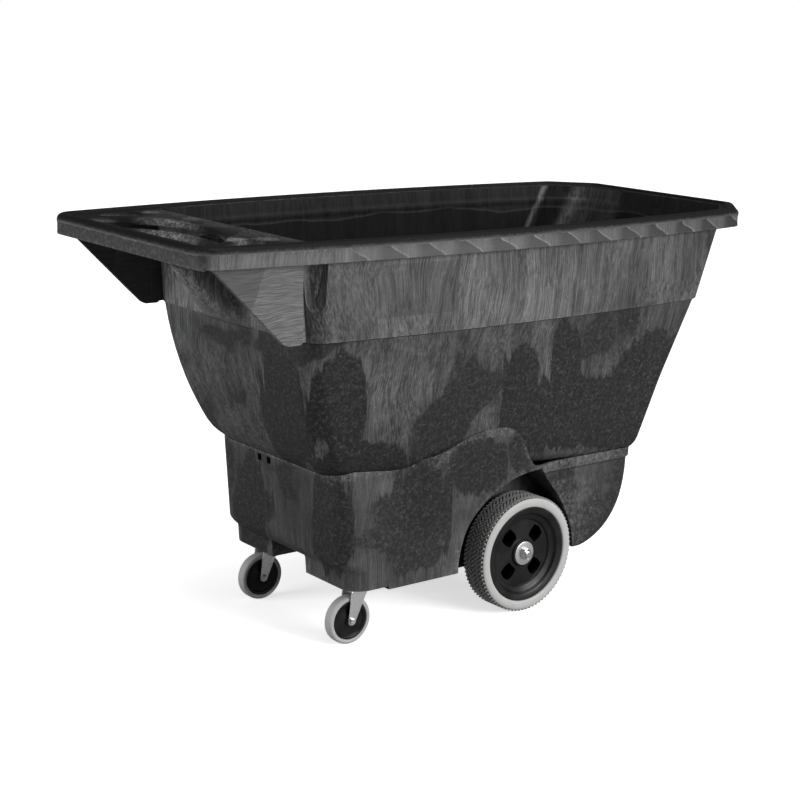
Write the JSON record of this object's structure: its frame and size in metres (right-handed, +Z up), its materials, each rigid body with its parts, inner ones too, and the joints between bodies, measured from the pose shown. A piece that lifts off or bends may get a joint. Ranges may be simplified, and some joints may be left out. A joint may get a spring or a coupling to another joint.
{
  "type": "tilt truck",
  "caption": "Moulded plastic tilt truck: an open tapered hopper with a deep rim and handle deck on a hollow base, rolling on large side wheels and swivel casters.",
  "frame": {"origin": "on the floor, under the centre of the truck's bounding box", "axes": "+X along the truck towards the pour end, away from the handle bar; +Y to the far side; +Z up"},
  "size_m": [1.638, 0.7848, 0.97],
  "materials": {
    "hopper_plastic": "satin structural foam with light grey flow swirls",
    "base_plastic": "satin structural foam with grey flow streaks",
    "hub_nylon": "moulded black, slight sheen",
    "tyre_rubber": "light grey solid rubber",
    "zinc_plate": "bright zinc plate",
    "bright_steel": "turned steel",
    "bush_nylon": "natural nylon"
  },
  "bodies": {
    "truck": {"axle": "bright_steel", "axle_bush_far": "bush_nylon", "axle_bush_near": "bush_nylon", "axle_nut_far": "zinc_plate", "axle_nut_near": "zinc_plate", "axle_washer_far": "zinc_plate", "axle_washer_near": "zinc_plate", "base_shell": "base_plastic", "caster_bolt_far_1": "zinc_plate", "caster_bolt_far_2": "zinc_plate", "caster_bolt_far_3": "zinc_plate", "caster_bolt_far_4": "zinc_plate", "caster_bolt_near_1": "zinc_plate", "caster_bolt_near_2": "zinc_plate", "caster_bolt_near_3": "zinc_plate", "caster_bolt_near_4": "zinc_plate", "caster_plate_far": "zinc_plate", "caster_plate_near": "zinc_plate", "hopper": "hopper_plastic", "hopper_bolt_1": "zinc_plate", "hopper_bolt_2": "zinc_plate", "hopper_bolt_3": "zinc_plate", "hopper_bolt_4": "zinc_plate", "kingpin_far": "bright_steel", "kingpin_near": "bright_steel", "swivel_race_far": "zinc_plate", "swivel_race_near": "zinc_plate", "wheel_spacer_far": "zinc_plate", "wheel_spacer_near": "zinc_plate"},
    "wheel_near": {"bearing_inner_near": "bush_nylon", "bearing_outer_near": "bush_nylon", "wheel_hub_near": "hub_nylon", "wheel_tyre_near": "tyre_rubber"},
    "wheel_far": {"bearing_inner_far": "bush_nylon", "bearing_outer_far": "bush_nylon", "wheel_hub_far": "hub_nylon", "wheel_tyre_far": "tyre_rubber"},
    "caster_near": {"caster_axle_bolt_near": "zinc_plate", "caster_axle_nut_near": "zinc_plate", "caster_fork_near": "zinc_plate", "caster_sleeve_near": "bright_steel"},
    "caster_far": {"caster_axle_bolt_far": "zinc_plate", "caster_axle_nut_far": "zinc_plate", "caster_fork_far": "zinc_plate", "caster_sleeve_far": "bright_steel"},
    "caster_wheel_near": {"caster_core_near": "hub_nylon", "caster_tyre_near": "tyre_rubber"},
    "caster_wheel_far": {"caster_core_far": "hub_nylon", "caster_tyre_far": "tyre_rubber"}
  },
  "joints": [
    {"name": "wheel_spin_near", "type": "hinge", "parent": "truck", "child": "wheel_near", "pos_m": [0.15, -0.2195, 0.1445], "axis": [0, 1, 0], "continuous": true},
    {"name": "caster_swivel_near", "type": "hinge", "parent": "truck", "child": "caster_near", "pos_m": [-0.312, -0.184, 0.13], "axis": [0, 0, 1], "continuous": true},
    {"name": "caster_spin_near", "type": "hinge", "parent": "caster_near", "child": "caster_wheel_near", "pos_m": [-0.339, -0.184, 0.0575], "axis": [0, 1, 0], "continuous": true},
    {"name": "wheel_spin_far", "type": "hinge", "parent": "truck", "child": "wheel_far", "pos_m": [0.15, 0.2195, 0.1445], "axis": [0, 1, 0], "continuous": true},
    {"name": "caster_swivel_far", "type": "hinge", "parent": "truck", "child": "caster_far", "pos_m": [-0.312, 0.184, 0.13], "axis": [0, 0, 1], "continuous": true},
    {"name": "caster_spin_far", "type": "hinge", "parent": "caster_far", "child": "caster_wheel_far", "pos_m": [-0.339, 0.184, 0.0575], "axis": [0, 1, 0], "continuous": true}
  ]
}
